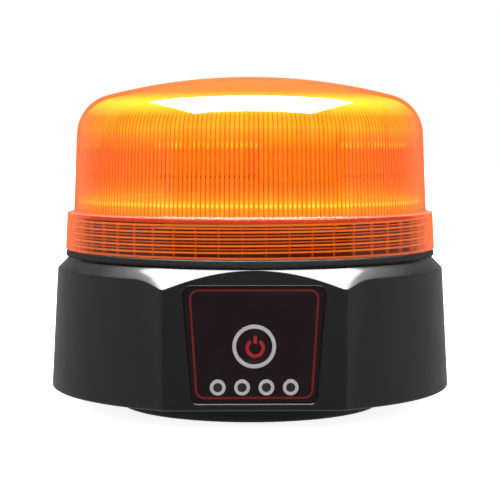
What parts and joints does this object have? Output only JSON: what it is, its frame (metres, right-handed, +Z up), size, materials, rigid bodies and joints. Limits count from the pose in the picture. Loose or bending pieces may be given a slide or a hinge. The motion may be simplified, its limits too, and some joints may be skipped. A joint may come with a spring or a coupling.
{
  "type": "rechargeable led beacon",
  "caption": "Low amber LED warning beacon: fluted screw-on lens over a round black base with flared flats, front control panel, rear charging port and magnetic foot.",
  "frame": {"origin": "centre of the magnetic foot's underside, which is the bottom centre of the object's box", "axes": "+Z up along the lens axis, -Y out of the control panel, +Y out of the charging port, +X to the right of someone facing the panel"},
  "size_m": [0.1614, 0.15, 0.1324],
  "materials": {
    "black_plastic": "fine moulded texture, satin",
    "black_rubber": "matt moulded rubber",
    "zinc_steel": "bright zinc plate",
    "ferrite": "sintered, dull dark grey",
    "panel_film": "satin printed overlay with red line work",
    "silver_trim": "satin silver",
    "smoked_pipe": "smoked clear moulding",
    "circuit_board": "green solder mask",
    "ribbon_cable": "grey flat cable",
    "copper_winding": "enamelled copper wire",
    "red_sleeve": "red wire insulation",
    "white_reflector": "white moulded reflector",
    "bare_aluminium": "extruded aluminium",
    "white_board": "white solder mask",
    "amber_lens": "clear amber, fluted, glossy",
    "cell_wrap": "blue shrink wrap",
    "brass": "turned brass"
  },
  "bodies": {
    "base": {"battery_cell_1": "cell_wrap", "battery_cell_2": "cell_wrap", "battery_cell_3": "cell_wrap", "battery_cell_4": "cell_wrap", "battery_clamp": "zinc_steel", "battery_lead": "red_sleeve", "battery_tray": "black_plastic", "board_standoff_1": "brass", "board_standoff_2": "brass", "board_standoff_3": "brass", "bottom_cover": "black_plastic", "bottom_seal": "black_rubber", "charge_board": "circuit_board", "charge_socket": "zinc_steel", "column_cap": "white_reflector", "control_board": "circuit_board", "control_panel": "panel_film", "cover_screw_1": "zinc_steel", "cover_screw_2": "zinc_steel", "cover_screw_3": "zinc_steel", "cover_screw_4": "zinc_steel", "cover_screw_5": "zinc_steel", "cover_screw_6": "zinc_steel", "deck_screw_1": "zinc_steel", "deck_screw_2": "zinc_steel", "deck_screw_3": "zinc_steel", "driver_board": "circuit_board", "driver_capacitor": "black_plastic", "driver_inductor": "copper_winding", "housing": "black_plastic", "lamp_ring_1": "silver_trim", "lamp_ring_2": "silver_trim", "lamp_ring_3": "silver_trim", "lamp_ring_4": "silver_trim", "led_board_1": "white_board", "led_board_2": "white_board", "led_board_3": "white_board", "led_board_4": "white_board", "led_board_5": "white_board", "led_board_6": "white_board", "led_column": "bare_aluminium", "led_deck": "white_reflector", "light_pipe_1": "smoked_pipe", "light_pipe_2": "smoked_pipe", "light_pipe_3": "smoked_pipe", "light_pipe_4": "smoked_pipe", "magnet_boot": "black_rubber", "magnet_cup": "zinc_steel", "magnet_ring": "ferrite", "magnet_screw": "zinc_steel", "panel_ribbon": "ribbon_cable", "port_hinge_pin": "zinc_steel", "power_ring": "silver_trim", "tact_switch": "black_plastic", "vent_plug": "black_rubber"},
    "button": {"power_button": "panel_film"},
    "port_flap": {"port_cover": "black_rubber"},
    "seal_ring": {"lens_gasket": "black_rubber"},
    "lens": {"lens": "amber_lens"}
  },
  "joints": [
    {"name": "button_press", "type": "slide", "parent": "base", "child": "button", "axis": [0, 1, 0], "range_m": [0, 0.0006], "stiffness_N_per_m": 400},
    {"name": "flap_swing", "type": "hinge", "parent": "base", "child": "port_flap", "pos_m": [0, 0.07275, 0.03885], "axis": [1, 0, 0], "range_deg": [0, 110]},
    {"name": "lens_lift", "type": "slide", "parent": "base", "child": "seal_ring", "axis": [0, 0, 1], "range_m": [0, 0.01251]},
    {"name": "lens_turn", "type": "hinge", "parent": "seal_ring", "child": "lens", "pos_m": [0, 0, 0.06345], "axis": [0, 0, 1], "range_deg": [0, 1800]}
  ],
  "couplings": [
    {"joint": "lens_lift", "follows": "lens_turn", "m_per_rad": 0.00039789}
  ]
}
